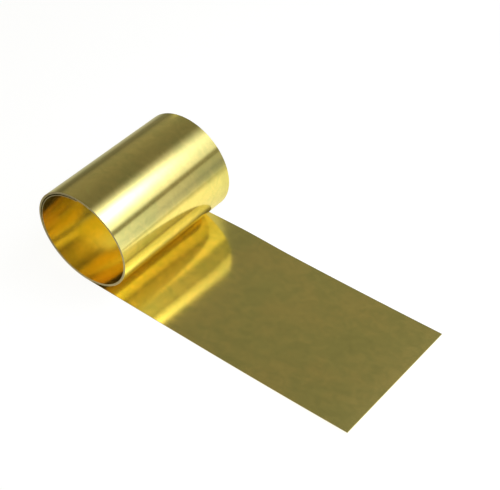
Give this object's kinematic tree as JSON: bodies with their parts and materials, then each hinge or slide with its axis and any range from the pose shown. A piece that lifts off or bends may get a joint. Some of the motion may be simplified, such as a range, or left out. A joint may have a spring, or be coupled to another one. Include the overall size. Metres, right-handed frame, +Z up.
{
  "type": "roll of brass sheet",
  "caption": "Thin brass sheet wound into a loose roll at one end, with the other end drawn out flat.",
  "frame": {"origin": "centre of the bounding box in plan, on the plane that the tail lies on", "axes": "+X along the flat tail, from the roll to the free end; +Y along the axis of the roll; +Z up, away from the table"},
  "size_m": [0.245, 0.1, 0.0721],
  "materials": {
    "brass": "bright rolled mill finish"
  },
  "bodies": {
    "root": {"brass_sheet": "brass"}
  },
  "joints": []
}
